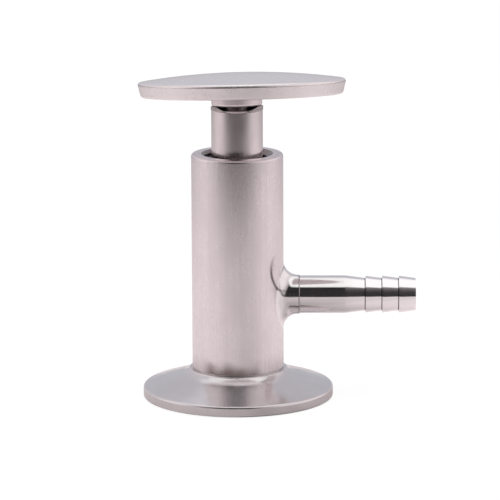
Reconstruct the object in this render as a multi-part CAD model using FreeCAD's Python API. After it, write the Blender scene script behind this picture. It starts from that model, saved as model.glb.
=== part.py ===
"""A sanitary sampling valve on a clamp ferrule, modelled closed.

Millimetres, +Z up along the valve's axis, origin at the centre of the ferrule's gasket face.
The outlet leaves along +X. Three full turns of the handle lift the plug off its seat.
The handle sits crooked on the stem, as it does on the real valve: its stud leans a few
degrees, and its disc is welded off centre.
"""

import FreeCAD, Part
import math
import os

Vector = FreeCAD.Vector
ORIGIN = Vector(0, 0, 0)
UP = Vector(0, 0, 1)
SAME_LENGTH = 1e-4

# Clamp ferrule
FERRULE_DIAMETER = 50.5
RIM_THICKNESS = 2.65
RIM_EDGE_ROUND = 0.3
RIM_BACK_ROUND = 0.6
BACK_TAPER_DEG = 18.0
FLARE_REACH = 2.3
FLARE_RADIUS = 5.7
NECK_LEDGE = 0.85
NECK_WALL = 0.3
NECK_EDGE_ROUND = 0.25
GASKET_GROOVE_DIAMETER = 43.6
GASKET_GROOVE_RADIUS = 1.6
GASKET_GROOVE_DEPTH = 1.1
ORIFICE_DIAMETER = 12.0
SEAT_THICKNESS = 3.0

# Barrel
BARREL_DIAMETER = 24.3
BARREL_LENGTH = 57.7
BARREL_FOOT_CHAMFER = 0.45
BARREL_TOP_ROUND = 0.7
CHAMBER_DIAMETER = 15.5
MOUTH_DIAMETER = 18.9
FERRULE_WELD_INSET = 0.12

# Screw thread, the same on the spindle and in the barrel
THREAD_DIAMETER = 18.0
THREAD_PITCH = 2.0
THREAD_CREST_WIDTH = 0.25
THREAD_FLANK_DEG = 30.0
SPINDLE_CREST_DROP = 0.1
SPINDLE_ROOT_DROP = 1.2
BARREL_GROOVE_EXTRA = 0.1
BARREL_MINOR_DROP = 1.05
RELIEF_HEIGHT = 2.4
RELIEF_EXTRA = 0.2
SPINDLE_THREAD_LENGTH = 9.4
SPINDLE_THREAD_ABOVE_RELIEF_FLOOR = 1.0

# Opening travel
LIFT_TURNS = 3

# Outlet with its barbed hose tail
OUTLET_HEIGHT = 27.25
SHANK_DIAMETER = 10.0
OUTLET_BORE = 6.0
PORT_DIAMETER = 6.6
TAIL_SEAT_RADIUS = 9.5
ROOT_DIAMETER = 9.0
ROOT_GAP = 0.02
WELD_FLARE_RADIUS = 3.9
WELD_PROUD = 0.2
WELD_TIP_MARGIN = 0.4
SHANK_LENGTH = 12.05
NECK_TAPER_LENGTH = 5.4
BARB_COUNT = 3
BARB_LENGTH = 4.42
BARB_CREST_DIAMETER = 9.8
BARB_VALLEY_DIAMETER = 8.6
TIP_CHAMFER = 0.3

# Spindle
STEM_DIAMETER = 13.6
STEM_CHAMFER = 0.4
STEM_ABOVE_BARREL = 12.1
ROD_DIAMETER = 10.0
ROD_CHAMFER = 0.4
THREAD_NECK_DIAMETER = 14.0
LAND_CLEARANCE = 0.1
LAND_ABOVE_PORT = 0.8
LAND_CHAMFER = 0.3
LAND_WEB = 1.3
GROOVE_WIDTH = 2.3
O_RING_SECTION = 1.7
O_RING_COUNT = 2
SEAL_BORE_GAP = 0.05
GUIDE_RING_HEIGHT = 2.0
GUIDE_RING_WALL = 1.0
GUIDE_RING_SIDE_GAP = 0.05
GUIDE_RING_SPLIT = 0.6
SEAL_TRAVEL_MARGIN = 0.5

# Swivel between spindle and plug
SWIVEL_SHANK_DIAMETER = 6.0
SWIVEL_SHANK_LENGTH = 9.5
SWIVEL_CORE_DIAMETER = 3.5
SWIVEL_GAP = 0.05
SOCKET_END_GAP = 0.5
SWIVEL_PIN_DIAMETER = 1.5
SWIVEL_PIN_HEIGHT = 5.7
SWIVEL_PIN_INSET = 0.2
PIN_HOLE_GAP = 0.01

# Plug
FLANGE_DIAMETER = 14.4
FLANGE_THICKNESS = 4.0
FLANGE_ACROSS_FLATS = 12.0
SEAL_WASHER_DIAMETER = 14.6
SEAL_WASHER_THICKNESS = 1.8
THRUST_WASHER_DIAMETER = 11.0
THRUST_WASHER_THICKNESS = 1.0
THRUST_WASHER_GAP = 0.15
NOSE_CLEARANCE = 0.15
NOSE_RECESS = 0.2
NOSE_EDGE_ROUND = 0.3
NOSE_STUD_DIAMETER = 4.0
NOSE_STUD_LENGTH = 5.0
SCREW_GAP = 0.02
HOLE_BOTTOM_GAP = 0.4

# Handle, and how far it leans away from the front and to the left with the valve closed
DISC_DIAMETER = 55.0
DISC_RIM_HEIGHT = 3.9
DISC_RIM_TAPER_DEG = 14.0
DISC_CROWN = 2.1
DISC_LOWER_ROUND = 0.8
DISC_UPPER_ROUND = 0.8
DISC_OFFSET = 1.4
BOSS_DIAMETER = 13.4
BOSS_HEIGHT = 2.74
BOSS_EDGE_ROUND = 0.6
BOSS_RISE = 0.53
BOSS_GAP = 0.02
BOSS_WELD_LEG = 0.5
HANDLE_STUD_DIAMETER = 8.0
STUD_IN_STEM = 10.0
STUD_IN_DISC = 3.6
HANDLE_LEAN_BACK_DEG = 6.5
HANDLE_LEAN_LEFT_DEG = 1.15
STEM_WELD_DEPTH = 1.6
STEM_WELD_PROUD = 0.1
STEM_WELD_OPENING_RADIUS = 12.0

# Radii
FERRULE_R = FERRULE_DIAMETER / 2
BARREL_R = BARREL_DIAMETER / 2
NECK_R = BARREL_R + NECK_LEDGE
CHAMBER_R = CHAMBER_DIAMETER / 2
ORIFICE_R = ORIFICE_DIAMETER / 2
THREAD_R = THREAD_DIAMETER / 2
RELIEF_R = THREAD_R + RELIEF_EXTRA
STEM_R = STEM_DIAMETER / 2
ROD_R = ROD_DIAMETER / 2
LAND_R = CHAMBER_R - LAND_CLEARANCE
OUTLET_BORE_R = OUTLET_BORE / 2
PORT_R = PORT_DIAMETER / 2
ROOT_R = ROOT_DIAMETER / 2
SHANK_R = SHANK_DIAMETER / 2
DISC_R = DISC_DIAMETER / 2
BOSS_R = BOSS_DIAMETER / 2
STUD_R = HANDLE_STUD_DIAMETER / 2

# Heights of the ferrule's back, from its rim up to its neck
TAPER = math.radians(BACK_TAPER_DEG)
FLARE_START_R = NECK_R + FLARE_REACH
FLARE_START_Z = RIM_THICKNESS + (FERRULE_R - FLARE_START_R) * math.tan(TAPER)
FLARE_END_ANGLE = math.asin(math.sin(TAPER) + FLARE_REACH / FLARE_RADIUS)
FLARE_END_Z = FLARE_START_Z + FLARE_RADIUS * (math.cos(TAPER) - math.cos(FLARE_END_ANGLE))
FERRULE_TOP = FLARE_END_Z + NECK_WALL
BARREL_TOP = FERRULE_TOP + BARREL_LENGTH

# Heights inside, with the valve closed
LIFT = LIFT_TURNS * THREAD_PITCH
WASHER_TOP = SEAT_THICKNESS + SEAL_WASHER_THICKNESS
FLANGE_TOP = WASHER_TOP + FLANGE_THICKNESS
ROD_END = FLANGE_TOP + THRUST_WASHER_THICKNESS + SWIVEL_GAP
SWIVEL_TOP = FLANGE_TOP + SWIVEL_SHANK_LENGTH
SWIVEL_PIN_Z = FLANGE_TOP + SWIVEL_PIN_HEIGHT
LAND_BOTTOM = OUTLET_HEIGHT + PORT_R + LAND_ABOVE_PORT
FIRST_O_RING_Z = LAND_BOTTOM + LAND_WEB + GROOVE_WIDTH / 2
O_RING_Z = [FIRST_O_RING_Z + n * (GROOVE_WIDTH + LAND_WEB) for n in range(O_RING_COUNT)]
GUIDE_RING_BOTTOM = O_RING_Z[-1] + GROOVE_WIDTH / 2 + LAND_WEB
GUIDE_RING_TOP = GUIDE_RING_BOTTOM + GUIDE_RING_HEIGHT
LAND_TOP = GUIDE_RING_TOP + LAND_WEB
RELIEF_FLOOR = GUIDE_RING_TOP + LIFT + SEAL_TRAVEL_MARGIN
RELIEF_TOP = RELIEF_FLOOR + RELIEF_HEIGHT
SPINDLE_THREAD_BOTTOM = RELIEF_FLOOR + SPINDLE_THREAD_ABOVE_RELIEF_FLOOR
SPINDLE_THREAD_TOP = SPINDLE_THREAD_BOTTOM + SPINDLE_THREAD_LENGTH

# Heights of the handle before it leans. The boss's leaned underside rises clear of the stem's
# top at the front and beds into it at the back.
STEM_TOP = BARREL_TOP + STEM_ABOVE_BARREL
BOSS_BOTTOM = STEM_TOP + BOSS_RISE
DISC_BOTTOM = BOSS_BOTTOM + BOSS_HEIGHT

# Distances along the outlet
WELD_TIP_X = BARREL_R + WELD_FLARE_RADIUS + WELD_TIP_MARGIN
TAPER_START_X = WELD_TIP_X + SHANK_LENGTH
BARB_START_X = TAPER_START_X + NECK_TAPER_LENGTH
TAIL_TIP_X = BARB_START_X + BARB_COUNT * BARB_LENGTH


def turned(points):
    """A solid of revolution about Z from a closed outline of (radius, height) points."""
    outline = Part.makePolygon([Vector(r, 0, z) for r, z in points + points[:1]])
    return Part.Face(outline).revolve(ORIGIN, UP, 360)


def rod(radius, bottom, top):
    return Part.makeCylinder(radius, top - bottom, Vector(0, 0, bottom))


def tube(outer, inner, bottom, top):
    return rod(outer, bottom, top).cut(rod(inner, bottom, top))


def round_edges(solid, size, radius, height):
    """Rounds the circular edge of this radius at this height."""
    return solid.makeFillet(size, circles(solid, radius, height))


def chamfer_edges(solid, size, radius, height):
    return solid.makeChamfer(size, circles(solid, radius, height))


def circles(solid, radius, height):
    """The solid's circular edges of this radius about Z at this height."""
    found = []
    for edge in solid.Edges:
        curve = None if edge.Degenerated else edge.Curve
        if not isinstance(curve, Part.Circle) or abs(curve.Axis.z) < 0.5:
            continue
        if abs(curve.Radius - radius) < SAME_LENGTH and abs(curve.Center.z - height) < SAME_LENGTH:
            found.append(edge)
    return found


def toward_outlet(solid):
    """Turns a solid made along +Z to lie along +X on the outlet's axis."""
    placed = solid.copy()
    placed.rotate(ORIGIN, Vector(0, 1, 0), 90)
    placed.translate(Vector(0, 0, OUTLET_HEIGHT))
    return placed


def leaned(solid):
    """Tips a solid made upright on the stem's top over to the handle's crooked stance."""
    pivot = Vector(0, 0, STEM_TOP)
    tipped = solid.copy()
    tipped.rotate(pivot, Vector(1, 0, 0), -HANDLE_LEAN_BACK_DEG)
    tipped.rotate(pivot, Vector(0, 1, 0), -HANDLE_LEAN_LEFT_DEG)
    return tipped


def one_solid(shape):
    """The single solid that a boolean step wraps in a compound."""
    return shape.Solids[0]


def thread_ridge(bottom, height, inner, outer, crest_width):
    """A helical ridge from the radius inner out to the radius outer, starting over +X."""
    root_width = crest_width + 2 * (outer - inner) * math.tan(math.radians(THREAD_FLANK_DEG))
    helix = Part.makeLongHelix(THREAD_PITCH, height, inner, 0, False)
    corners = [
        (inner, -root_width / 2),
        (outer, -crest_width / 2),
        (outer, crest_width / 2),
        (inner, root_width / 2),
    ]
    section = Part.makePolygon([Vector(r, 0, z) for r, z in corners + corners[:1]])
    ridge = Part.Wire(helix.Edges).makePipeShell([section], True, True)
    ridge.translate(Vector(0, 0, bottom))
    return ridge


def split_ring(ring, width, radius, bottom, top):
    """A ring with a slot of this width cut through it on the side away from the outlet."""
    slot = Part.makeBox(radius, width, top - bottom, Vector(-radius, -width / 2, bottom))
    return ring.cut(slot)


def make_clamp_ferrule():
    flare_mid_angle = (TAPER + FLARE_END_ANGLE) / 2
    flare_mid = Vector(
        FLARE_START_R - FLARE_RADIUS * (math.sin(flare_mid_angle) - math.sin(TAPER)),
        0,
        FLARE_START_Z + FLARE_RADIUS * (math.cos(TAPER) - math.cos(flare_mid_angle)),
    )
    flare_start = Vector(FLARE_START_R, 0, FLARE_START_Z)
    flare_end = Vector(NECK_R, 0, FLARE_END_Z)
    before_flare = [
        Vector(CHAMBER_R, 0, SEAT_THICKNESS),
        Vector(ORIFICE_R, 0, SEAT_THICKNESS),
        Vector(ORIFICE_R, 0, 0),
        Vector(FERRULE_R, 0, 0),
        Vector(FERRULE_R, 0, RIM_THICKNESS),
        flare_start,
    ]
    after_flare = [
        flare_end,
        Vector(NECK_R, 0, FERRULE_TOP),
        Vector(CHAMBER_R, 0, FERRULE_TOP),
        before_flare[0],
    ]
    edges = Part.makePolygon(before_flare).Edges
    edges.append(Part.Arc(flare_start, flare_mid, flare_end).toShape())
    edges += Part.makePolygon(after_flare).Edges
    ferrule = Part.Face(Part.Wire(edges)).revolve(ORIGIN, UP, 360)
    ferrule = round_edges(ferrule, RIM_EDGE_ROUND, FERRULE_R, 0)
    ferrule = round_edges(ferrule, RIM_BACK_ROUND, FERRULE_R, RIM_THICKNESS)
    ferrule = round_edges(ferrule, NECK_EDGE_ROUND, NECK_R, FERRULE_TOP)
    groove_centre_z = GASKET_GROOVE_DEPTH - GASKET_GROOVE_RADIUS
    groove_centre = Vector(0, 0, groove_centre_z)
    groove = Part.makeTorus(GASKET_GROOVE_DIAMETER / 2, GASKET_GROOVE_RADIUS, groove_centre)
    return one_solid(ferrule.cut(groove))


def make_ferrule_weld():
    """The bead that fills the corner under the barrel's chamfered foot."""
    size = BARREL_FOOT_CHAMFER - FERRULE_WELD_INSET
    inner = BARREL_R - BARREL_FOOT_CHAMFER
    return turned([(inner, FERRULE_TOP), (inner + size, FERRULE_TOP), (inner + size, FERRULE_TOP + size)])


def make_body_barrel():
    barrel = tube(BARREL_R, CHAMBER_R, FERRULE_TOP, BARREL_TOP)
    barrel = chamfer_edges(barrel, BARREL_FOOT_CHAMFER, BARREL_R, FERRULE_TOP)
    barrel = round_edges(barrel, BARREL_TOP_ROUND, BARREL_R, BARREL_TOP)
    socket = rod(ROOT_R + ROOT_GAP, TAIL_SEAT_RADIUS, BARREL_R * 2)
    barrel = barrel.cut(toward_outlet(socket))
    barrel = barrel.cut(toward_outlet(rod(PORT_R, 0, TAIL_SEAT_RADIUS)))
    barrel = barrel.cut(rod(RELIEF_R, RELIEF_FLOOR, RELIEF_TOP))
    minor_r = THREAD_R - BARREL_MINOR_DROP
    barrel = barrel.cut(rod(minor_r, RELIEF_FLOOR, BARREL_TOP))
    groove_r = THREAD_R + BARREL_GROOVE_EXTRA
    groove_height = BARREL_TOP - SPINDLE_THREAD_BOTTOM + THREAD_PITCH
    groove_floor = minor_r - BARREL_GROOVE_EXTRA
    barrel = barrel.cut(
        thread_ridge(SPINDLE_THREAD_BOTTOM, groove_height, groove_floor, groove_r, THREAD_CREST_WIDTH)
    )
    mouth_r = MOUTH_DIAMETER / 2
    mouth_bottom = BARREL_TOP - (mouth_r - minor_r)
    mouth = turned([(0, BARREL_TOP), (mouth_r, BARREL_TOP), (minor_r, mouth_bottom), (0, mouth_bottom)])
    return one_solid(barrel.cut(mouth))


def make_outlet_hose_tail():
    outline = [
        (OUTLET_BORE_R, TAIL_SEAT_RADIUS),
        (ROOT_R, TAIL_SEAT_RADIUS),
        (ROOT_R, WELD_TIP_X),
        (SHANK_R, WELD_TIP_X),
        (SHANK_R, TAPER_START_X),
    ]
    for barb in range(BARB_COUNT):
        start = BARB_START_X + barb * BARB_LENGTH
        outline.append((BARB_VALLEY_DIAMETER / 2, start))
        outline.append((BARB_CREST_DIAMETER / 2, start))
    outline.append((BARB_VALLEY_DIAMETER / 2, TAIL_TIP_X))
    outline.append((OUTLET_BORE_R, TAIL_TIP_X))
    tail = chamfer_edges(turned(outline), TIP_CHAMFER, OUTLET_BORE_R, TAIL_TIP_X)
    return toward_outlet(tail)


def make_outlet_weld():
    """The dressed weld that flares from the barrel out onto the hose tail's shank."""
    branch_r = SHANK_R + WELD_PROUD
    reach = branch_r + 2 * WELD_FLARE_RADIUS
    barrel = rod(BARREL_R, OUTLET_HEIGHT - reach, OUTLET_HEIGHT + reach)
    branch = chamfer_edges(rod(branch_r, 0, WELD_TIP_X), WELD_PROUD, branch_r, WELD_TIP_X)
    joined = one_solid(barrel.fuse(toward_outlet(branch)))
    seam = [edge for edge in joined.Edges if is_seam(edge)]
    flared = joined.makeFillet(WELD_FLARE_RADIUS, seam)
    ring = flared.cut(barrel).cut(toward_outlet(rod(ROOT_R, 0, WELD_TIP_X)))
    return one_solid(ring)


def is_seam(edge):
    """Whether this edge is where the branch meets the barrel's wall."""
    box = edge.BoundBox
    around_branch = box.YLength > SHANK_R and box.ZLength > SHANK_R
    return around_branch and box.XMin > 0 and box.XMax < BARREL_R + WELD_FLARE_RADIUS / 2


def spindle_thread():
    """The spindle's ridge, trimmed to its length with a 45 degree lead at each end."""
    crest = THREAD_R - SPINDLE_CREST_DROP
    root = THREAD_R - SPINDLE_ROOT_DROP
    lead = crest - root
    ridge = thread_ridge(
        SPINDLE_THREAD_BOTTOM - THREAD_PITCH,
        SPINDLE_THREAD_LENGTH + 2 * THREAD_PITCH,
        root - SPINDLE_CREST_DROP,
        crest,
        THREAD_CREST_WIDTH,
    )
    envelope = turned([
        (0, SPINDLE_THREAD_BOTTOM),
        (root, SPINDLE_THREAD_BOTTOM),
        (crest, SPINDLE_THREAD_BOTTOM + lead),
        (crest, SPINDLE_THREAD_TOP - lead),
        (root, SPINDLE_THREAD_TOP),
        (0, SPINDLE_THREAD_TOP),
    ])
    return rod(root, SPINDLE_THREAD_BOTTOM, SPINDLE_THREAD_TOP).fuse(ridge).common(envelope)


def make_spindle():
    neck_r = THREAD_NECK_DIAMETER / 2
    groove_root = CHAMBER_R - SEAL_BORE_GAP - O_RING_SECTION
    guide_root = CHAMBER_R - SEAL_BORE_GAP - GUIDE_RING_WALL
    body = turned([
        (0, ROD_END),
        (ROD_R, ROD_END),
        (ROD_R, LAND_BOTTOM),
        (LAND_R, LAND_BOTTOM),
        (LAND_R, LAND_TOP),
        (neck_r, LAND_TOP),
        (neck_r, SPINDLE_THREAD_BOTTOM),
        (STEM_R, SPINDLE_THREAD_BOTTOM),
        (STEM_R, STEM_TOP),
        (0, STEM_TOP),
    ])
    body = chamfer_edges(body, ROD_CHAMFER, ROD_R, ROD_END)
    body = chamfer_edges(body, LAND_CHAMFER, LAND_R, LAND_BOTTOM)
    body = chamfer_edges(body, LAND_CHAMFER, LAND_R, LAND_TOP)
    body = chamfer_edges(body, STEM_CHAMFER, STEM_R, STEM_TOP)
    for height in O_RING_Z:
        body = body.cut(tube(CHAMBER_R, groove_root, height - GROOVE_WIDTH / 2, height + GROOVE_WIDTH / 2))
    body = body.cut(tube(CHAMBER_R, guide_root, GUIDE_RING_BOTTOM, GUIDE_RING_TOP))
    socket_r = SWIVEL_SHANK_DIAMETER / 2 + SWIVEL_GAP
    body = body.cut(rod(socket_r, ROD_END, SWIVEL_TOP + SOCKET_END_GAP))
    body = body.cut(leaned(rod(STUD_R + SCREW_GAP, STEM_TOP - STUD_IN_STEM - HOLE_BOTTOM_GAP, BOSS_BOTTOM)))
    body = body.cut(boss_bed())
    for pin in swivel_pin_rods(PIN_HOLE_GAP, ROD_R):
        body = body.cut(pin)
    return one_solid(body.fuse(spindle_thread()))


def swivel_pin_rods(extra_radius, half_length):
    """Rods across the spindle, one on each side of the plug's swivel core."""
    radius = SWIVEL_PIN_DIAMETER / 2
    offset = SWIVEL_CORE_DIAMETER / 2 + SWIVEL_GAP + radius
    along = Vector(0, 1, 0)
    starts = [Vector(side * offset, -half_length, SWIVEL_PIN_Z) for side in (-1, 1)]
    return [Part.makeCylinder(radius + extra_radius, 2 * half_length, start, along) for start in starts]


def make_swivel_pins():
    offset = (SWIVEL_CORE_DIAMETER + SWIVEL_PIN_DIAMETER) / 2 + SWIVEL_GAP
    half_chord = math.sqrt(ROD_R**2 - offset**2) - SWIVEL_PIN_INSET
    return Part.makeCompound(swivel_pin_rods(0, half_chord))


def make_o_ring(height):
    radius = O_RING_SECTION / 2
    return Part.makeTorus(CHAMBER_R - SEAL_BORE_GAP - radius, radius, Vector(0, 0, height))


def make_guide_ring():
    outer = CHAMBER_R - SEAL_BORE_GAP
    bottom = GUIDE_RING_BOTTOM + GUIDE_RING_SIDE_GAP
    top = GUIDE_RING_TOP - GUIDE_RING_SIDE_GAP
    ring = tube(outer, outer - GUIDE_RING_WALL, bottom, top)
    return split_ring(ring, GUIDE_RING_SPLIT, outer, bottom, top)


def make_plug_holder():
    """The flanged swivel that carries the plug up and down without turning it."""
    flange_r = FLANGE_DIAMETER / 2
    holder = rod(flange_r, WASHER_TOP, FLANGE_TOP)
    for side in (-1, 1):
        edge = side * FLANGE_ACROSS_FLATS / 2
        low = min(edge, side * flange_r)
        depth = flange_r - FLANGE_ACROSS_FLATS / 2
        corner = Vector(-flange_r, low, WASHER_TOP)
        holder = holder.cut(Part.makeBox(2 * flange_r, depth, FLANGE_THICKNESS, corner))
    shank_r = SWIVEL_SHANK_DIAMETER / 2
    holder = holder.fuse(rod(shank_r, FLANGE_TOP, SWIVEL_TOP))
    half_groove = SWIVEL_PIN_DIAMETER / 2 + SWIVEL_GAP
    groove_bottom = SWIVEL_PIN_Z - half_groove
    groove_top = SWIVEL_PIN_Z + half_groove
    holder = holder.cut(tube(2 * shank_r, SWIVEL_CORE_DIAMETER / 2, groove_bottom, groove_top))
    hole_top = nose_stud_top() + HOLE_BOTTOM_GAP
    return one_solid(holder.cut(rod(NOSE_STUD_DIAMETER / 2 + SCREW_GAP, WASHER_TOP, hole_top)))


def nose_stud_top():
    return SEAT_THICKNESS + NOSE_STUD_LENGTH


def make_seal_washer():
    return tube(SEAL_WASHER_DIAMETER / 2, NOSE_STUD_DIAMETER / 2 + SCREW_GAP, SEAT_THICKNESS, WASHER_TOP)


def make_thrust_washer():
    inner = SWIVEL_SHANK_DIAMETER / 2 + THRUST_WASHER_GAP
    return tube(THRUST_WASHER_DIAMETER / 2, inner, FLANGE_TOP, FLANGE_TOP + THRUST_WASHER_THICKNESS)


def make_nose_plug():
    nose_r = ORIFICE_R - NOSE_CLEARANCE
    nose = round_edges(rod(nose_r, NOSE_RECESS, SEAT_THICKNESS), NOSE_EDGE_ROUND, nose_r, NOSE_RECESS)
    return one_solid(nose.fuse(rod(NOSE_STUD_DIAMETER / 2, SEAT_THICKNESS, nose_stud_top())))


def make_handle_stud():
    return leaned(rod(STUD_R, STEM_TOP - STUD_IN_STEM, DISC_BOTTOM + STUD_IN_DISC))


def make_handle_boss():
    boss = tube(BOSS_R, STUD_R + SCREW_GAP, BOSS_BOTTOM, DISC_BOTTOM)
    return leaned(round_edges(boss, BOSS_EDGE_ROUND, BOSS_R, BOSS_BOTTOM))


def boss_bed():
    """Everything from just under the boss upward, which the stem and its weld stay clear of."""
    return leaned(rod(2 * STEM_R, BOSS_BOTTOM - BOSS_GAP, DISC_BOTTOM + STEM_R))


def make_stem_weld():
    """The bead that closes the wedge between stem and boss, but for a lens-shaped gap in front."""
    inner = STEM_R - STEM_WELD_DEPTH
    outer = STEM_R + STEM_WELD_PROUD
    shoulder = STEM_TOP - STEM_CHAMFER
    ring = turned([
        (inner, STEM_TOP),
        (STEM_R - STEM_CHAMFER, STEM_TOP),
        (STEM_R, shoulder),
        (outer, shoulder + STEM_WELD_PROUD),
        (outer, DISC_BOTTOM),
        (inner, DISC_BOTTOM),
    ])
    lens_centre = Vector(0, -2 * STEM_R, shoulder + STEM_WELD_OPENING_RADIUS)
    lens = Part.makeCylinder(STEM_WELD_OPENING_RADIUS, 2 * STEM_R, lens_centre, Vector(0, 1, 0))
    sides = ring.cut(boss_bed()).cut(lens)
    return Part.makeCompound(sides.Solids)


def make_handle_weld():
    toe = DISC_BOTTOM - BOSS_WELD_LEG
    return leaned(turned([(BOSS_R, toe), (BOSS_R + BOSS_WELD_LEG, DISC_BOTTOM), (BOSS_R, DISC_BOTTOM)]))


def make_handle_disc():
    rim_top = DISC_BOTTOM + DISC_RIM_HEIGHT
    lower_r = DISC_R - DISC_RIM_HEIGHT * math.tan(math.radians(DISC_RIM_TAPER_DEG))
    dome_r = (DISC_R**2 + DISC_CROWN**2) / (2 * DISC_CROWN)
    dome_centre = rim_top + DISC_CROWN - dome_r
    half_way = DISC_R / 2
    rim_edge = Vector(DISC_R, 0, rim_top)
    dome_middle = Vector(half_way, 0, dome_centre + math.sqrt(dome_r**2 - half_way**2))
    peak = Vector(0, 0, rim_top + DISC_CROWN)
    dome = Part.Arc(rim_edge, dome_middle, peak)
    below = Part.makePolygon([peak, Vector(0, 0, DISC_BOTTOM), Vector(lower_r, 0, DISC_BOTTOM), rim_edge])
    outline = Part.Wire([dome.toShape()] + below.Edges)
    disc = Part.Face(outline).revolve(ORIGIN, UP, 360)
    disc = round_edges(disc, DISC_LOWER_ROUND, lower_r, DISC_BOTTOM)
    disc = round_edges(disc, DISC_UPPER_ROUND, DISC_R, rim_top)
    disc.translate(Vector(DISC_OFFSET, 0, 0))
    hole_top = DISC_BOTTOM + STUD_IN_DISC + HOLE_BOTTOM_GAP
    return leaned(one_solid(disc.cut(rod(STUD_R + SCREW_GAP, DISC_BOTTOM, hole_top))))


def main():
    pieces = {
        "clamp_ferrule": make_clamp_ferrule(),
        "ferrule_weld": make_ferrule_weld(),
        "body_barrel": make_body_barrel(),
        "outlet_hose_tail": make_outlet_hose_tail(),
        "outlet_weld": make_outlet_weld(),
        "spindle": make_spindle(),
        "lower_o_ring": make_o_ring(O_RING_Z[0]),
        "upper_o_ring": make_o_ring(O_RING_Z[-1]),
        "guide_ring": make_guide_ring(),
        "swivel_pins": make_swivel_pins(),
        "plug_holder": make_plug_holder(),
        "thrust_washer": make_thrust_washer(),
        "seal_washer": make_seal_washer(),
        "nose_plug": make_nose_plug(),
        "handle_stud": make_handle_stud(),
        "stem_weld": make_stem_weld(),
        "handle_boss": make_handle_boss(),
        "handle_weld": make_handle_weld(),
        "handle_disc": make_handle_disc(),
    }
    os.makedirs("parts", exist_ok=True)
    for name, shape in pieces.items():
        shape.exportStep(f"parts/{name}.step")
        print(f"{name}: {len(shape.Solids)} solid, {shape.Volume:.1f} mm3, valid {shape.isValid()}")


main()
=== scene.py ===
"""The looks of a sanitary sampling valve: polished and satin stainless steel in a white studio."""

import math

import bpy
from mathutils import Matrix, Vector

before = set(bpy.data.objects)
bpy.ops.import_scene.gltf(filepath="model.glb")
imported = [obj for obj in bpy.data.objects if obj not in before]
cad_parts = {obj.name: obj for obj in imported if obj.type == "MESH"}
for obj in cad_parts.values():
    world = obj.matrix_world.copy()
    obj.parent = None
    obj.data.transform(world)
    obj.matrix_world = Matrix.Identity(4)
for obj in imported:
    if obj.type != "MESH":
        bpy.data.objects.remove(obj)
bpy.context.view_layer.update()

MM = 1e-3

# Camera, in metres and radians, for the photograph's square frame of 500 pixels
CAMERA_DISTANCE = 0.8944
CAMERA_HEIGHT = 0.2271
CAMERA_SIDE = 0.0167
CAMERA_PITCH = 0.207
CAMERA_YAW = -0.015
CAMERA_ROLL = -0.004
FOCAL_PIXELS = 3450.4
PHOTO_PIXELS = 500
SENSOR_MM = 36.0

# How the handle leans about the middle of the stem's top, in metres and radians, and the
# heights in its own frame over which its top turns satin
HANDLE_PIVOT = 0.077405
HANDLE_LEAN = (math.radians(-6.5), math.radians(-1.15), 0)
HANDLE_TOP = (0.0846, 0.0850)

# Noise and tool lines of all the steels: waves a millimetre, shares of the blend, and the parts
# of the blend's range over which tone and roughness change
CLOUDS_PER_MM = (0.16, 0.16, 0.09)
TURNED_LINES_PER_MM = 2.6
FACED_LINES_PER_MM = 2.4
STREAKS_PER_MM = (1.1, 1.1, 0.015)
STREAK_RADIUS = 0.012
CLOUD_SHARE = 0.6
LINE_SHARE = 0.4
TONE_STEP = (0.36, 0.64)
ROUGHNESS_STEP = (0.34, 0.66)

# Welds, rubber and plastic: the parts of the noise's range over which their tone and their
# roughness change, waves a millimetre, and a ripple's depth in millimetres
CLOUD_STEP = (0.35, 0.65)
GRAIN_STEP = (0.3, 0.7)
WELD_RIPPLES_PER_MM = 0.9
WELD_RIPPLE_DEPTH = 0.12
WELD_TINTS_PER_MM = 0.2
WELD_ROUGHNESS = (0.42, 0.28)
SOFT_VARY = 0.06

# Painted shade on the barrel's foot: a brown darkening which fades with the height and toward the
# sides
FOOT_SHADE_COLOR = (0.22, 0.175, 0.165, 1)
FOOT_SHADE_HEIGHTS = (0.0082, 0.0130)
FOOT_SHADE_CLOUDS_PER_MM = 0.12
FOOT_SHADE_RAGGED = 0.0016
FOOT_SHADE_MIDDLE = -0.0012
FOOT_SHADE_SIDES = (0.0055, 0.0085)
FOOT_SHADE_AT_SIDES = 0.2

# Thin dark line of painted shade beside the outlet: part of a circle about a point above the
# outlet
WELD_SHADE_LINE_COLOR = (0.16, 0.135, 0.135, 1)
WELD_LINE_CENTRE = 0.0355
WELD_LINE_RADII = (0.0076, 0.0082, 0.0088)
WELD_LINE_LOW = (0.0285, 0.0300)
WELD_LINE_HIGH = (0.0340, 0.0400)

# Painted shade: the barrel's bore is darker than its outside
BORE_SHADE_COLOR = (0.27, 0.25, 0.255, 1)
BORE_RADII = (0.0094, 0.0096)

# The hose tail turns paler toward its tip, and a dark line of painted shade lies before each barb
TIP_COLOR = (0.97, 0.93, 0.94, 1)
TIP_REACH = (0.025, 0.034)
TAIL_WAVE_REACH = (0.018, 0.036)
BARB_PLACES = (0.0339, 0.03832, 0.04274)
BARB_LINE_WIDTH = 0.0004
BARB_SHADE_COLOR = (0.10, 0.09, 0.09, 1)

# A dark line where the outlet's weld ends on the tail
WELD_TIP_PLACES = (0.01655,)
WELD_TIP_LINE_WIDTH = 0.0006
WELD_TIP_LINE_COLOR = (0.30, 0.27, 0.27, 1)

# What metal sees round the object above the floor, by the angle in degrees from the camera's
# side, positive to the right
STUDIO_RING = [
    (-180, (0.54, 0.55, 0.60)),
    (-140, (0.68, 0.66, 0.69)),
    (-112, (0.84, 0.80, 0.82)),
    (-99, (1.0, 0.945, 0.955)),
    (-82, (1.0, 0.945, 0.955)),
    (-68, (0.92, 0.86, 0.87)),
    (-48, (0.45, 0.41, 0.42)),
    (-24, (0.03, 0.028, 0.029)),
    (17, (0.03, 0.028, 0.029)),
    (34, (0.50, 0.46, 0.47)),
    (62, (0.93, 0.87, 0.88)),
    (82, (1.0, 0.945, 0.955)),
    (118, (1.0, 0.945, 0.955)),
    (148, (0.60, 0.59, 0.62)),
    (180, (0.54, 0.55, 0.60)),
]

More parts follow.
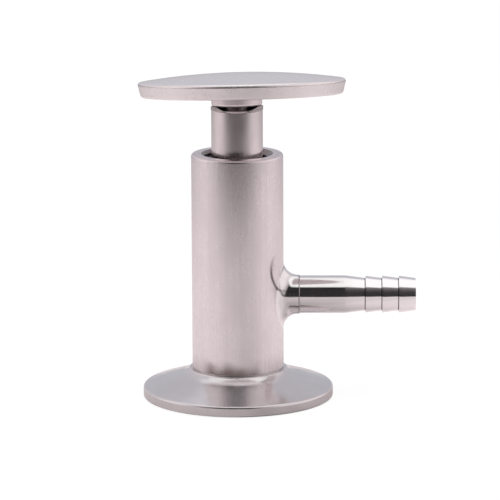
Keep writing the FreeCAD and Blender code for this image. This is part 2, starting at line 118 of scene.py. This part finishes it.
# Higher up the ring dims, the back turns white and a white ceiling begins. The steps are in the
# direction's own Z or Y, from 0 level to 1 straight up or straight back
RING_HIGH = 0.8
RING_HIGH_STEP = (0.55, 0.75)
BACK_UPPER = (1.0, 1.0, 1.03, 1)
BACK_STEP = (0.2, 0.6)
BACK_UPPER_STEP = (0.60, 0.82)
OVERHEAD = (1.05, 1.05, 1.05, 1)
OVERHEAD_STEP = (math.sin(math.radians(52)), math.sin(math.radians(60)))
AMBIENT = (0.42, 0.405, 0.405, 1)
WHITE = (1, 1, 1, 1)

# The floor is a pale sheet whose colour is painted dark beyond its end in front of the object, and
# it turns cooler far behind it; the metal sees this colour. To the camera it is white, with the
# object's shadow. Two numbers are a start and an end in metres, and four add the values there
FLOOR_HALF = 4.0
FLOOR_DROP = 0.0002
FLOOR_NEAR = (0.88, 0.82, 0.83, 1)
FLOOR_BACK = (0.70, 0.71, 0.76, 1)
FLOOR_BEYOND = (0.11, 0.10, 0.104, 1)
FLOOR_SEEN = (0.14, 0.14, 0.14, 1)
FLOOR_FRONT_EDGE = (-0.33, -0.21)
FLOOR_BACK_START = (0.15, 0.9)
FLOOR_GLOW = (0.12, 0.5, 0.9, 0.945)

# Painted shade on the floor, seen by the metal: how bright the floor is by its direction from the
# object, in degrees as above, how far that reaches in metres, and a painted shadow that dims it
# close to the ferrule
FLOOR_SHADE = [
    (-180, 1.0),
    (-85, 1.02),
    (-50, 0.90),
    (-20, 0.82),
    (0, 0.72),
    (18, 0.63),
    (38, 0.70),
    (60, 0.87),
    (90, 1.02),
    (180, 1.0),
]
FLOOR_SHADE_REACH = (0.04, 0.30)
FLOOR_NEAR_SHADE = (0.034, 0.052, 0.88, 1.0)

# Each lamp's name, place, target and size in metres, and power in watts
LAMPS = [
    ("overhead", (0, -0.05, 0.45), (0, -0.05, 0), (0.3, 0.3), 0.9),
    ("left", (-0.4, 0, 0.3), (-0.22, 0, 0), (0.3, 0.6), 0.6),
    ("right", (0.4, 0, 0.3), (0.22, 0, 0), (0.3, 0.6), 0.6),
]


def add(tree, kind, **settings):
    node = tree.nodes.new(kind)
    for name, value in settings.items():
        setattr(node, name, value)
    return node


def feed(tree, socket, value):
    """Gives a socket a number, a colour or another node's output."""
    if isinstance(value, bpy.types.NodeSocket):
        tree.links.new(value, socket)
    else:
        socket.default_value = value


def add_fed(tree, kind, *values, **settings):
    """Adds a node and feeds its first inputs."""
    node = add(tree, kind, **settings)
    for socket, value in zip(node.inputs, values):
        feed(tree, socket, value)
    return node


def calc(tree, operation, *values):
    return add_fed(tree, "ShaderNodeMath", *values, operation=operation).outputs[0]


def product(tree, first, *others):
    for other in others:
        first = calc(tree, "MULTIPLY", first, other)
    return first


def distance(tree, across, along):
    """How far a point is from the origin of two coordinates."""
    squares = calc(tree, "ADD", product(tree, across, across), product(tree, along, along))
    return calc(tree, "SQRT", squares)


def rise(tree, value, start, end, low=0.0, high=1.0):
    """A smooth step from low to high as the value goes from start to end."""
    node = add(tree, "ShaderNodeMapRange", interpolation_type="SMOOTHSTEP")
    for socket, number in zip(node.inputs, (value, start, end, low, high)):
        feed(tree, socket, number)
    return node.outputs[0]


def fall(tree, value, start, end):
    """A smooth step from 1 to 0 as the value goes from start to end."""
    return rise(tree, value, start, end, 1.0, 0.0)


def mix_color(tree, share, first, second):
    node = add(tree, "ShaderNodeMix", data_type="RGBA")
    feed(tree, node.inputs["Factor"], share)
    feed(tree, node.inputs["A"], first)
    feed(tree, node.inputs["B"], second)
    return node.outputs["Result"]


def scale_color(tree, color, scale):
    node = add(tree, "ShaderNodeVectorMath", operation="SCALE")
    feed(tree, node.inputs[0], color)
    feed(tree, node.inputs["Scale"], scale)
    return node.outputs[0]


def multiply(tree, first, second):
    """Multiplies two vectors or colours part by part."""
    return add_fed(tree, "ShaderNodeVectorMath", first, second, operation="MULTIPLY").outputs[0]


def by_direction(tree, x, y, stops):
    """A colour by the angle round Z: stops are (degrees from the camera's side, colour)."""
    angle = calc(tree, "ARCTAN2", x, calc(tree, "MULTIPLY", y, -1.0))
    turn = calc(tree, "MULTIPLY_ADD", angle, 0.5 / math.pi, 0.5)
    ramp = add(tree, "ShaderNodeValToRGB")
    ramp.color_ramp.interpolation = "EASE"
    elements = ramp.color_ramp.elements
    while len(elements) < len(stops):
        elements.new(0.5)
    for element, (degrees, color) in zip(elements, stops):
        element.position = (degrees + 180) / 360
        element.color = (*color, 1)
    feed(tree, ramp.inputs["Fac"], turn)
    return ramp.outputs["Color"]


def split(tree, vector):
    return add_fed(tree, "ShaderNodeSeparateXYZ", vector).outputs


def object_place(tree):
    return add(tree, "ShaderNodeTexCoord").outputs["Object"]


def on_handle(tree, vector):
    """Coordinates in the handle's own frame, which leans on the stem's top."""
    moved = add(tree, "ShaderNodeMapping", vector_type="TEXTURE")
    feed(tree, moved.inputs["Vector"], vector)
    feed(tree, moved.inputs["Location"], (0, 0, HANDLE_PIVOT))
    feed(tree, moved.inputs["Rotation"], HANDLE_LEAN)
    return moved.outputs[0]


def round_axis(tree, vector, radius):
    """Coordinates that go once round Z: a circle of the given radius, with the height kept."""
    x, y, z = split(tree, vector)
    angle = calc(tree, "ARCTAN2", y, x)
    across = calc(tree, "MULTIPLY", calc(tree, "COSINE", angle), radius)
    along = calc(tree, "MULTIPLY", calc(tree, "SINE", angle), radius)
    return add_fed(tree, "ShaderNodeCombineXYZ", across, along, z).outputs[0]


def noise(tree, vector, per_mm, detail=2.0, roughness=0.5):
    """Smooth noise, even round 0.5, with per_mm waves a millimetre on all axes or on each."""
    if isinstance(per_mm, float):
        per_mm = (per_mm, per_mm, per_mm)
    node = add(tree, "ShaderNodeTexNoise")
    feed(tree, node.inputs["Vector"], multiply(tree, vector, tuple(n / MM for n in per_mm)))
    feed(tree, node.inputs["Scale"], 1.0)
    feed(tree, node.inputs["Detail"], detail)
    feed(tree, node.inputs["Roughness"], roughness)
    return node.outputs["Fac"]


def noise_along(tree, coordinate, per_mm):
    """Fine lines across one coordinate."""
    place = add_fed(tree, "ShaderNodeCombineXYZ", coordinate).outputs[0]
    return noise(tree, place, per_mm, detail=3.0, roughness=0.7)


def bump(tree, height, normal=None):
    node = add(tree, "ShaderNodeBump")
    feed(tree, node.inputs["Height"], height)
    feed(tree, node.inputs["Distance"], 1.0)
    if normal:
        feed(tree, node.inputs["Normal"], normal)
    return node.outputs[0]


def empty_material(name):
    material = bpy.data.materials.new(name)
    material.use_nodes = True
    material.node_tree.nodes.clear()
    return material, material.node_tree


def principled(tree, color, roughness, metal=0.0, normal=None):
    shader = add(tree, "ShaderNodeBsdfPrincipled")
    feed(tree, shader.inputs["Base Color"], color)
    feed(tree, shader.inputs["Roughness"], roughness)
    feed(tree, shader.inputs["Metallic"], metal)
    if normal:
        feed(tree, shader.inputs["Normal"], normal)
    output = add(tree, "ShaderNodeOutputMaterial")
    feed(tree, output.inputs["Surface"], shader.outputs["BSDF"])
    return shader


def foot_shade(tree, place, base):
    """Painted shade on the barrel's foot: a brown darkening."""
    x, y, z = split(tree, place)
    cloud = rise(tree, noise(tree, place, FOOT_SHADE_CLOUDS_PER_MM), *CLOUD_STEP)
    edge = calc(tree, "MULTIPLY_ADD", cloud, FOOT_SHADE_RAGGED, z)
    aside = calc(tree, "ABSOLUTE", calc(tree, "SUBTRACT", x, FOOT_SHADE_MIDDLE))
    fade = rise(tree, aside, *FOOT_SHADE_SIDES, 1.0, FOOT_SHADE_AT_SIDES)
    return mix_color(tree, product(tree, fall(tree, edge, *FOOT_SHADE_HEIGHTS), fade), base, FOOT_SHADE_COLOR)


def weld_shade_line(tree, place, base):
    """The thin dark line of painted shade beside the outlet, on the outlet's side of the barrel
    only.
    """
    x, y, z = split(tree, place)
    away = distance(tree, y, calc(tree, "SUBTRACT", z, WELD_LINE_CENTRE))
    inner, middle, outer = WELD_LINE_RADII
    share = product(
        tree,
        rise(tree, away, inner, middle),
        fall(tree, away, middle, outer),
        rise(tree, z, *WELD_LINE_LOW),
        fall(tree, z, *WELD_LINE_HIGH),
        calc(tree, "GREATER_THAN", x, 0.0),
    )
    return mix_color(tree, share, base, WELD_SHADE_LINE_COLOR)


# Painted shade inside the barrel's bore
def bore_shade(tree, place, base):
    x, y, z = split(tree, place)
    return mix_color(tree, fall(tree, distance(tree, x, y), *BORE_RADII), base, BORE_SHADE_COLOR)


def pale_tip(tree, place, base):
    return mix_color(tree, rise(tree, split(tree, place)[0], *TIP_REACH), base, TIP_COLOR)


def dark_rings(tree, place, base, corners, width, color):
    """Dark lines round the tail, each just before a corner and clear of the corner's own face."""
    x = split(tree, place)[0]
    for corner in corners:
        rising = rise(tree, x, corner - width, corner - width / 3)
        before = calc(tree, "LESS_THAN", x, corner - width / 12)
        base = mix_color(tree, product(tree, rising, before), base, color)
    return base


# Painted shade in the valley before each barb
def barb_shade_lines(tree, place, base):
    return dark_rings(tree, place, base, BARB_PLACES, BARB_LINE_WIDTH, BARB_SHADE_COLOR)


def weld_tip_line(tree, place, base):
    return dark_rings(
        tree, place, base, WELD_TIP_PLACES, WELD_TIP_LINE_WIDTH, WELD_TIP_LINE_COLOR
    )


def fine_lines(tree, place, kind):
    """Streaks along the barrel, rings on the handle, or turning lines along X or Z."""
    x, y, z = split(tree, place)
    if kind == "streaks":
        return noise(tree, round_axis(tree, place, STREAK_RADIUS), STREAKS_PER_MM)
    if kind == "rings":
        return noise_along(tree, distance(tree, x, y), FACED_LINES_PER_MM)
    return noise_along(tree, {"X": x, "Z": z}[kind], TURNED_LINES_PER_MM)


def steel(name, color, roughness, metal=1.0, vary=0.04, tone=0.02, kind="Z", lines=0.0,
          wave=0.0, wave_size=9.0, wave_reach=None, brushed=0.0, leaning=False, satin_top=0.0,
          marks=()):
    """Stainless steel: its tone and roughness drift a little, and fine tool lines cross it.

    Lines and wave are depths in millimetres, and wave_size is the wave's length in millimetres.
    The wave counts double because its noise spans only about half of its range.
    """
    material, tree = empty_material(name)
    place = object_place(tree)
    if leaning:
        place = on_handle(tree, place)
    x, y, z = split(tree, place)

    cloud = noise(tree, place, CLOUDS_PER_MM, detail=4.0, roughness=0.6)
    fine = fine_lines(tree, place, kind)
    blend = calc(tree, "MULTIPLY_ADD", fine, LINE_SHARE, product(tree, cloud, CLOUD_SHARE))
    deep = tuple(c * (1 - tone) for c in color)
    pale = tuple(min(1.0, c * (1 + tone)) for c in color)
    base = mix_color(tree, rise(tree, blend, *TONE_STEP), (*deep, 1), (*pale, 1))
    for mark in marks:
        base = mark(tree, place, base)

    drift = rise(tree, blend, *ROUGHNESS_STEP, roughness + vary, roughness - vary)
    if satin_top:
        drift = calc(tree, "ADD", drift, rise(tree, z, *HANDLE_TOP, 0.0, satin_top))

    normal = None
    if wave:
        swell = noise(tree, place, 1 / wave_size, detail=1.0, roughness=0.4)
        depth = calc(tree, "MULTIPLY", swell, wave * MM * 2)
        if wave_reach:
            depth = product(tree, depth, fall(tree, x, *wave_reach))
        normal = bump(tree, depth)
    if lines:
        normal = bump(tree, calc(tree, "MULTIPLY", fine, lines * MM), normal)

    shader = principled(tree, base, drift, metal, normal)
    if brushed:
        feed(tree, shader.inputs["Anisotropic"], brushed)
        tangent = add(tree, "ShaderNodeTangent", direction_type="RADIAL", axis="Z")
        feed(tree, shader.inputs["Tangent"], tangent.outputs["Tangent"])
    return material


def weld_metal(name, dark, pale):
    """A dressed weld: duller than the steel beside it, with a heat tint and fine ripples."""
    material, tree = empty_material(name)
    place = object_place(tree)
    ripple = noise(tree, place, WELD_RIPPLES_PER_MM, detail=3.0, roughness=0.6)
    tint = rise(tree, noise(tree, place, WELD_TINTS_PER_MM), *CLOUD_STEP)
    base = mix_color(tree, tint, (*dark, 1), (*pale, 1))
    roughness = rise(tree, ripple, *GRAIN_STEP, *WELD_ROUGHNESS)
    normal = bump(tree, calc(tree, "MULTIPLY", ripple, WELD_RIPPLE_DEPTH * MM))
    principled(tree, base, roughness, 1.0, normal)
    return material


def soft_material(name, dark, pale, roughness, grain, depth):
    """Rubber or plastic: a matte colour with a fine grain, its depth in millimetres."""
    material, tree = empty_material(name)
    speckle = noise(tree, object_place(tree), grain, detail=3.0, roughness=0.6)
    base = mix_color(tree, rise(tree, speckle, *CLOUD_STEP), (*dark, 1), (*pale, 1))
    drift = rise(tree, speckle, *GRAIN_STEP, roughness - SOFT_VARY, roughness + SOFT_VARY)
    normal = bump(tree, calc(tree, "MULTIPLY", speckle, depth * MM))
    principled(tree, base, drift, normal=normal)
    return material


def make_world():
    world = bpy.data.worlds.new("studio")
    bpy.context.scene.world = world
    world.use_nodes = True
    tree = world.node_tree
    tree.nodes.clear()
    x, y, z = split(tree, add(tree, "ShaderNodeTexCoord").outputs["Generated"])
    ring = by_direction(tree, x, y, STUDIO_RING)
    ring = scale_color(tree, ring, rise(tree, z, *RING_HIGH_STEP, 1.0, RING_HIGH))
    back = product(tree, rise(tree, y, *BACK_STEP), rise(tree, z, *BACK_UPPER_STEP))
    mirrored = mix_color(tree, back, ring, BACK_UPPER)
    mirrored = mix_color(tree, rise(tree, z, *OVERHEAD_STEP), mirrored, OVERHEAD)

    glossy, ambient, seen = (
        add_fed(tree, "ShaderNodeBackground", color).outputs[0]
        for color in (mirrored, AMBIENT, WHITE)
    )
    path = add(tree, "ShaderNodeLightPath").outputs
    lit = add_fed(tree, "ShaderNodeMixShader", path["Is Glossy Ray"], ambient, glossy).outputs[0]
    final = add_fed(tree, "ShaderNodeMixShader", path["Is Camera Ray"], lit, seen).outputs[0]
    feed(tree, add(tree, "ShaderNodeOutputWorld").inputs["Surface"], final)


def make_floor_material():
    material, tree = empty_material("floor")
    x, y, z = split(tree, object_place(tree))
    sheet = mix_color(tree, rise(tree, y, *FLOOR_BACK_START), FLOOR_NEAR, FLOOR_BACK)
    sheet = mix_color(tree, rise(tree, y, *FLOOR_FRONT_EDGE), FLOOR_BEYOND, sheet)
    shade = by_direction(tree, x, y, [(degrees, (s, s, s)) for degrees, s in FLOOR_SHADE])
    away = distance(tree, x, y)
    shade = mix_color(tree, rise(tree, away, *FLOOR_SHADE_REACH), shade, WHITE)
    near = rise(tree, away, *FLOOR_NEAR_SHADE)
    sheet = scale_color(tree, multiply(tree, sheet, shade), near)

    seen = add(tree, "ShaderNodeLightPath").outputs["Is Camera Ray"]
    matte = add_fed(tree, "ShaderNodeBsdfDiffuse", mix_color(tree, seen, sheet, FLOOR_SEEN))
    strength = product(tree, seen, rise(tree, away, *FLOOR_GLOW))
    glow = add_fed(tree, "ShaderNodeEmission", WHITE, strength)
    both = add_fed(tree, "ShaderNodeAddShader", matte.outputs[0], glow.outputs[0])
    feed(tree, add(tree, "ShaderNodeOutputMaterial").inputs["Surface"], both.outputs[0])
    return material


def make_floor():
    mesh = bpy.data.meshes.new("floor")
    corners = [
        (x * FLOOR_HALF, y * FLOOR_HALF, -FLOOR_DROP)
        for x, y in ((-1, -1), (1, -1), (1, 1), (-1, 1))
    ]
    mesh.from_pydata(corners, [], [(0, 1, 2, 3)])
    mesh.materials.append(make_floor_material())
    floor = bpy.data.objects.new("floor", mesh)
    bpy.context.scene.collection.objects.link(floor)


def make_lamp(name, place, target, size, power):
    data = bpy.data.lights.new(name, "AREA")
    data.shape = "RECTANGLE"
    data.size, data.size_y = size
    data.energy = power
    lamp = bpy.data.objects.new(name, data)
    lamp.location = place
    toward = Vector(target) - Vector(place)
    lamp.rotation_euler = toward.to_track_quat("-Z", "Y").to_euler()
    lamp.visible_glossy = False
    bpy.context.scene.collection.objects.link(lamp)


def make_camera():
    data = bpy.data.cameras.new("camera")
    data.sensor_width = SENSOR_MM
    data.sensor_fit = "HORIZONTAL"
    data.lens = FOCAL_PIXELS / PHOTO_PIXELS * SENSOR_MM
    data.clip_start = 0.01
    forward = Vector((
        math.sin(CAMERA_YAW) * math.cos(CAMERA_PITCH),
        math.cos(CAMERA_YAW) * math.cos(CAMERA_PITCH),
        -math.sin(CAMERA_PITCH),
    ))
    right = Vector((math.cos(CAMERA_YAW), -math.sin(CAMERA_YAW), 0))
    up = right.cross(forward)
    turn = Matrix((right, up, -forward)).transposed() @ Matrix.Rotation(CAMERA_ROLL, 3, "Z")
    place = Matrix.Translation((CAMERA_SIDE, -CAMERA_DISTANCE, CAMERA_HEIGHT))
    camera = bpy.data.objects.new("camera", data)
    camera.matrix_world = place @ turn.to_4x4()
    bpy.context.scene.collection.objects.link(camera)
    bpy.context.scene.camera = camera


# The barrel's marks paint shade on its foot, beside the outlet and in its bore
barrel = steel(
    "barrel", (0.81, 0.755, 0.77), 0.28, vary=0.02, kind="streaks", lines=0.0002,
    brushed=0.58, marks=(foot_shade, weld_shade_line, bore_shade),
)
stem = steel("stem", (0.78, 0.725, 0.735), 0.23, tone=0.05, lines=0.0005)
handle = steel(
    "handle", (0.83, 0.78, 0.788), 0.26, metal=0.82, vary=0.03, kind="rings", lines=0.0002,
    leaning=True, satin_top=0.14,
)
boss = steel(
    "boss", (0.9, 0.84, 0.845), 0.48, kind="rings", lines=0.0003, leaning=True,
)
polished = steel(
    "polished", (0.73, 0.695, 0.705), 0.19, metal=0.95, vary=0.03, tone=0.03,
    wave=0.035, wave_size=6.0,
)
mirror = steel(
    "mirror", (0.86, 0.83, 0.83), 0.1, vary=0.03, kind="X",
    wave=0.05, wave_reach=TAIL_WAVE_REACH, marks=(pale_tip, barb_shade_lines),
)
weld_mirror = steel(
    "weld_mirror", (0.84, 0.81, 0.81), 0.12, tone=0.05, kind="X",
    wave=0.12, wave_size=4.0, marks=(weld_shade_line, weld_tip_line),
)
weld = weld_metal("weld", (0.46, 0.42, 0.43), (0.58, 0.53, 0.52))
# The stem's weld is darker than the other welds and the stud is near black: painted shade of the
# gap under the handle
stem_weld = weld_metal("stem_weld", (0.36, 0.325, 0.33), (0.48, 0.44, 0.44))
stud_shade = weld_metal("stud_painted_shade", (0.15, 0.13, 0.13), (0.23, 0.2, 0.2))
rubber = soft_material(
    "rubber", (0.035, 0.035, 0.037), (0.055, 0.055, 0.057), roughness=0.6, grain=4.0, depth=0.004,
)
plastic = soft_material(
    "slide_plastic", (0.84, 0.84, 0.81), (0.9, 0.9, 0.87), roughness=0.45, grain=2.5, depth=0.002,
)

# Every piece that isn't named here has the stem's steel
LOOKS = {
    "clamp_ferrule": polished,
    "nose_plug": polished,
    "ferrule_weld": weld,
    "handle_weld": weld,
    "stem_weld": stem_weld,
    "handle_stud": stud_shade,
    "body_barrel": barrel,
    "outlet_hose_tail": mirror,
    "outlet_weld": weld_mirror,
    "handle_boss": boss,
    "handle_disc": handle,
    "lower_o_ring": rubber,
    "upper_o_ring": rubber,
    "seal_washer": rubber,
    "guide_ring": plastic,
    "thrust_washer": plastic,
}
for name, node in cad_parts.items():
    node.data.materials.clear()
    node.data.materials.append(LOOKS.get(name, stem))

make_world()
make_floor()
for settings in LAMPS:
    make_lamp(*settings)
make_camera()

bpy.context.scene.view_settings.view_transform = "Standard"
